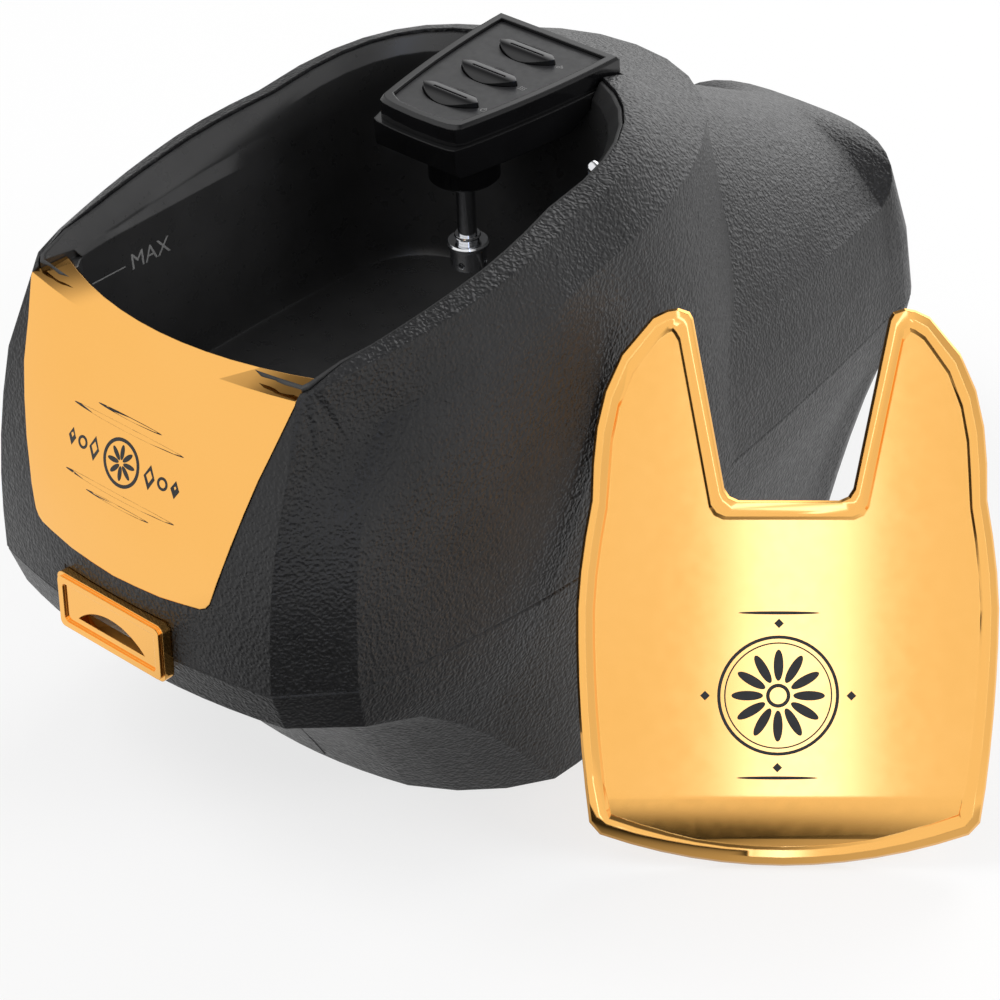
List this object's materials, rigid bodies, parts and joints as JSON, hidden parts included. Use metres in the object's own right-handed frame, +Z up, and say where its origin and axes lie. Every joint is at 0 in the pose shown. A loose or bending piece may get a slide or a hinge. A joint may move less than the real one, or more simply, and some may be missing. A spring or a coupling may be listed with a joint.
{
  "type": "hot lather machine",
  "caption": "Counter-top hot lather machine: open tank with motor mixer under a key console, gold front panel and outlet, notched lid stood beside it.",
  "frame": {"origin": "middle of the base's underside, on the counter", "axes": "+Z up, -Y the front with the outlet, +X to the right seen from the front"},
  "size_m": [0.2355, 0.283, 0.1641],
  "materials": {
    "shell_black": "leather-grain charcoal",
    "foot_rubber": "matt",
    "steel_parts": "plain",
    "gold_plate": "orange-gold mirror plating",
    "pale_plastic": "natural",
    "gloss_black": "gloss",
    "key_plate": "satin",
    "chrome_parts": "polished",
    "board_green": "lacquered board",
    "thermostat_body": "moulded",
    "inlet_black": "moulded"
  },
  "bodies": {
    "machine": {"upper_shell": "shell_black", "base_shell": "shell_black", "foot_pads": "foot_rubber", "shell_screws": "steel_parts", "front_panel": "gold_plate", "outlet_bezel": "gold_plate", "outlet_duct": "pale_plastic", "tank": "gloss_black", "tank_gasket": "foot_rubber", "level_probe": "chrome_parts", "heater_plate": "steel_parts", "thermostat": "thermostat_body", "console_housing": "gloss_black", "console_frame": "gloss_black", "button_plate": "key_plate", "switch_board": "board_green", "console_screws": "steel_parts", "mixer_motor": "steel_parts", "motor_collar": "gloss_black", "shaft_seal": "foot_rubber", "pump_housing": "pale_plastic", "pump_cover": "pale_plastic", "pump_screws": "steel_parts", "pump_motor": "steel_parts", "power_board": "board_green", "board_screws": "steel_parts", "power_inlet": "inlet_black", "inlet_pins": "steel_parts"},
    "mixer": {"mixer_shaft": "chrome_parts", "mixer_bell": "chrome_parts"},
    "pump_drive": {"pump_drive_gear": "steel_parts"},
    "pump_idler": {"pump_idler_gear": "steel_parts"},
    "key_power": {"button_power": "gloss_black"},
    "key_heat": {"button_heat": "gloss_black"},
    "key_lather": {"button_lather": "gloss_black"},
    "lid": {"lid": "gold_plate"}
  },
  "joints": [
    {"name": "mixer_spin", "type": "hinge", "parent": "machine", "child": "mixer", "pos_m": [0, -0.01398, 0.1481], "axis": [0, -0.0541, 0.9985], "continuous": true},
    {"name": "pump_spin", "type": "hinge", "parent": "machine", "child": "pump_drive", "pos_m": [-0.008, -0.104, 0.071], "axis": [0, 1, 0], "continuous": true},
    {"name": "idler_spin", "type": "hinge", "parent": "machine", "child": "pump_idler", "pos_m": [0.008, -0.104, 0.071], "axis": [0, 1, 0], "continuous": true},
    {"name": "key_power_press", "type": "slide", "parent": "machine", "child": "key_power", "axis": [0, -0.0541, 0.9985], "range_m": [-0.0008, 0], "stiffness_N_per_m": 1200},
    {"name": "key_heat_press", "type": "slide", "parent": "machine", "child": "key_heat", "axis": [0, -0.0541, 0.9985], "range_m": [-0.0008, 0], "stiffness_N_per_m": 1200},
    {"name": "key_lather_press", "type": "slide", "parent": "machine", "child": "key_lather", "axis": [0, -0.0541, 0.9985], "range_m": [-0.0008, 0], "stiffness_N_per_m": 1200},
    {"name": "lid_away", "type": "slide", "parent": "machine", "child": "lid", "axis": [0.6691, -0.7431, 0], "range_m": [0, 0.08]}
  ],
  "couplings": [
    {"joint": "idler_spin", "follows": "pump_spin", "ratio": -1}
  ]
}
